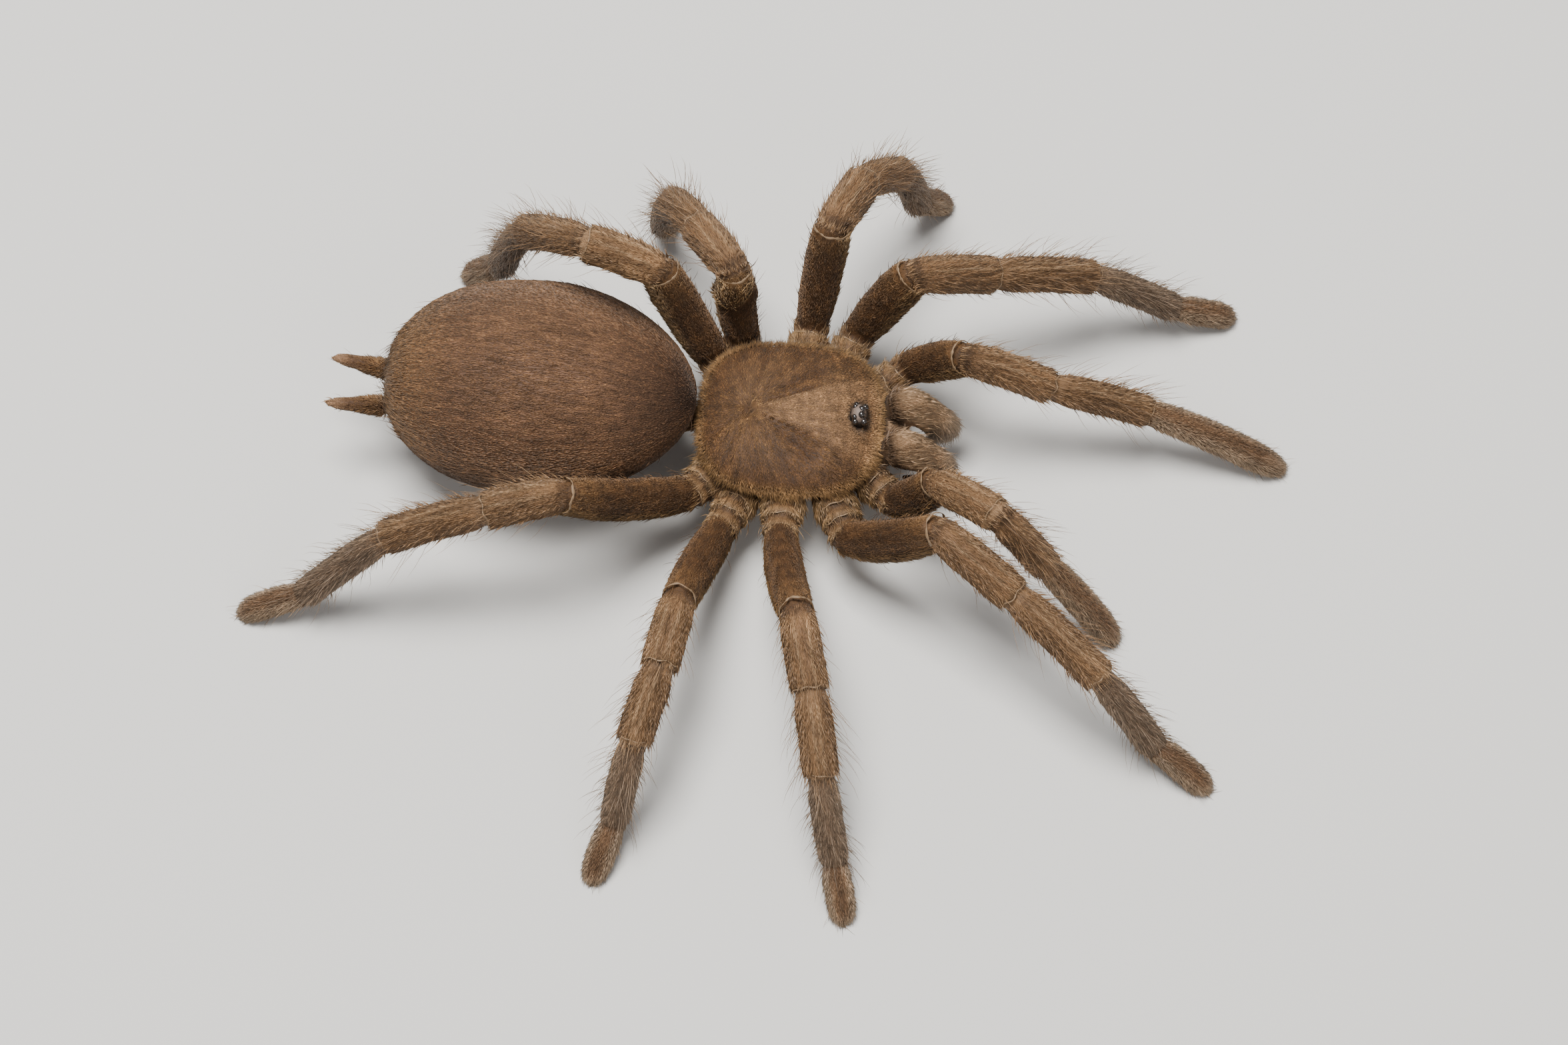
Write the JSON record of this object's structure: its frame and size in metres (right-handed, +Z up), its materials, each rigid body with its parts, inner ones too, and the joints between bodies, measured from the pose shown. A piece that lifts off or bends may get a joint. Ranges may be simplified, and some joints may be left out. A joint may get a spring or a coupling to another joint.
{
  "type": "tarantula",
  "caption": "Life-size still model of a fawn-brown burrowing tarantula, standing with its legs spread, with short velvety hair and longer setae on the legs.",
  "frame": {"origin": "on the floor, below the middle of the whole stance's bounding box", "axes": "+X towards the head, +Y to the spider's left, +Z up"},
  "size_m": [0.1054, 0.083, 0.0274],
  "materials": {
    "carapace": "short felted hair with a golden sheen, matt",
    "chest": "short velvet hair, matt",
    "abdomen": "dense lying hair, brown with paler tips, matt",
    "chelicera": "short hair with long pale hairs in front, matt",
    "fang": "dark horny cuticle, semi-gloss",
    "eye": "black lens, glossy",
    "eye_mound": "dark short hair, matt",
    "spinneret": "short brown velvet hair, matt",
    "femur": "dark brown velvet with golden glints",
    "patella": "tan hair with long loose setae, matt",
    "tibia": "tan hair with long loose setae, matt",
    "foot": "greyish brown hair, paler at the blunt tip, matt"
  },
  "bodies": {
    "root": {"abdomen": "abdomen", "carapace": "carapace", "chelicera_left": "chelicera", "chelicera_right": "chelicera", "chest_with_coxae": "chest", "eye_anterior_lateral_left": "eye", "eye_anterior_lateral_right": "eye", "eye_anterior_median_left": "eye", "eye_anterior_median_right": "eye", "eye_mound": "eye_mound", "eye_posterior_lateral_left": "eye", "eye_posterior_lateral_right": "eye", "eye_posterior_median_left": "eye", "eye_posterior_median_right": "eye", "fang_left": "fang", "fang_right": "fang", "leg_left_1_femur": "femur", "leg_left_1_foot": "foot", "leg_left_1_patella": "patella", "leg_left_1_tibia": "tibia", "leg_left_2_femur": "femur", "leg_left_2_foot": "foot", "leg_left_2_patella": "patella", "leg_left_2_tibia": "tibia", "leg_left_3_femur": "femur", "leg_left_3_foot": "foot", "leg_left_3_patella": "patella", "leg_left_3_tibia": "tibia", "leg_left_4_femur": "femur", "leg_left_4_foot": "foot", "leg_left_4_patella": "patella", "leg_left_4_tibia": "tibia", "leg_right_1_femur": "femur", "leg_right_1_foot": "foot", "leg_right_1_patella": "patella", "leg_right_1_tibia": "tibia", "leg_right_2_femur": "femur", "leg_right_2_foot": "foot", "leg_right_2_patella": "patella", "leg_right_2_tibia": "tibia", "leg_right_3_femur": "femur", "leg_right_3_foot": "foot", "leg_right_3_patella": "patella", "leg_right_3_tibia": "tibia", "leg_right_4_femur": "femur", "leg_right_4_foot": "foot", "leg_right_4_patella": "patella", "leg_right_4_tibia": "tibia", "palp_left_femur": "femur", "palp_left_patella": "patella", "palp_left_tarsus": "foot", "palp_left_tibia": "tibia", "palp_right_femur": "femur", "palp_right_patella": "patella", "palp_right_tarsus": "foot", "palp_right_tibia": "tibia", "pedicel": "chest", "spinneret_left": "spinneret", "spinneret_right": "spinneret"}
  },
  "joints": []
}
